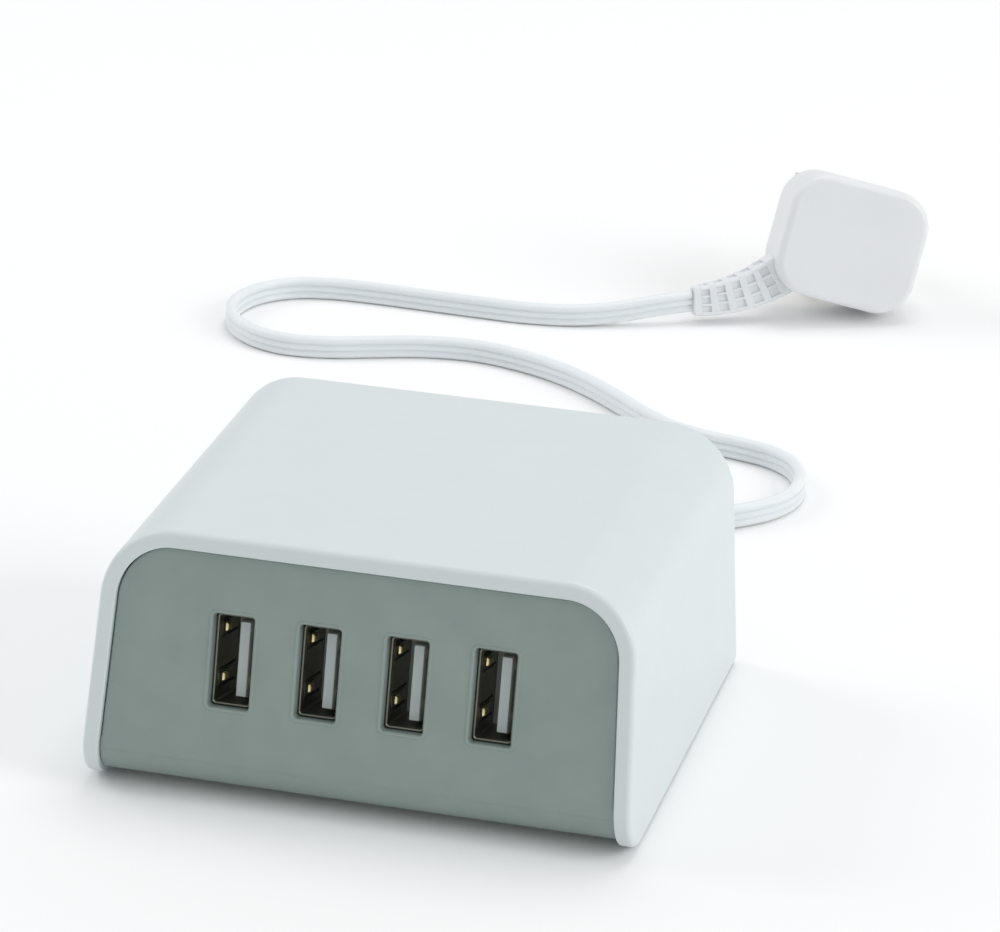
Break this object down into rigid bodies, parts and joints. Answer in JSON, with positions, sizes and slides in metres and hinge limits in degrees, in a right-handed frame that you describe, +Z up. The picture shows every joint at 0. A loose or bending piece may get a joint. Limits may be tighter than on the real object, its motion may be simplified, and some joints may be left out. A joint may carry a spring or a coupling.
{
  "type": "desktop usb charger",
  "caption": "Desktop USB charger in an arched white case with a leaning grey front of upright ports, and a flat mains lead with a low angled plug.",
  "frame": {"origin": "centre of the case in plan, on the surface that the feet stand on; the mains lead and its plug aren't counted", "axes": "+X to the right seen from the front, +Y to the rear, +Z up; the ports face -Y"},
  "size_m": [0.1197, 0.2429, 0.038],
  "materials": {
    "shell_white": "satin",
    "panel_grey": "fine matt",
    "base_white": "fine matt",
    "foot_rubber": "matt",
    "screw_steel": "plain",
    "circuit_board": "solder mask",
    "insulation": "smooth",
    "chip_black": "moulded",
    "lead_covering": "smooth",
    "ferrite": "sintered",
    "winding_tape": "smooth",
    "capacitor_sleeve": "smooth",
    "fuse_brown": "smooth",
    "disc_blue": "dipped",
    "box_yellow": "smooth",
    "copper_wire": "enamelled",
    "heat_sink": "plain",
    "optocoupler_white": "moulded",
    "bushing_white": "satin",
    "cord_white": "satin",
    "plug_white": "satin",
    "pin_brass": "nickel plated",
    "port_steel": "dark plated",
    "port_insulator": "moulded",
    "contact_gold": "gold plated"
  },
  "bodies": {
    "root": {"top_shell": "shell_white", "front_panel": "panel_grey", "base_plate": "base_white", "rubber_feet": "foot_rubber", "case_screws": "screw_steel", "main_pcb": "circuit_board", "pcb_screws": "screw_steel", "insulation_sheet": "insulation", "usb_pcb": "circuit_board", "usb_shell_1": "port_steel", "usb_shell_2": "port_steel", "usb_shell_3": "port_steel", "usb_shell_4": "port_steel", "usb_tongue_1": "port_insulator", "usb_tongue_2": "port_insulator", "usb_tongue_3": "port_insulator", "usb_tongue_4": "port_insulator", "usb_contacts_1": "contact_gold", "usb_contacts_2": "contact_gold", "usb_contacts_3": "contact_gold", "usb_contacts_4": "contact_gold", "usb_controllers": "chip_black", "dc_harness": "lead_covering", "transformer_core": "ferrite", "transformer_winding": "winding_tape", "bulk_capacitor": "capacitor_sleeve", "output_capacitors": "capacitor_sleeve", "bridge_rectifier": "chip_black", "fuse": "fuse_brown", "varistor": "disc_blue", "x_capacitor": "box_yellow", "y_capacitor": "disc_blue", "choke_core": "ferrite", "choke_windings": "copper_wire", "primary_heat_sink": "heat_sink", "switching_transistor": "chip_black", "secondary_heat_sink": "heat_sink", "output_rectifier": "chip_black", "control_ic": "chip_black", "optocoupler": "optocoupler_white", "mains_leads": "lead_covering", "cord_bushing": "bushing_white", "power_cord": "cord_white", "plug_strain_relief": "bushing_white", "plug_cover": "plug_white", "plug_body": "plug_white", "plug_blades": "pin_brass", "ground_pin": "pin_brass"}
  },
  "joints": []
}
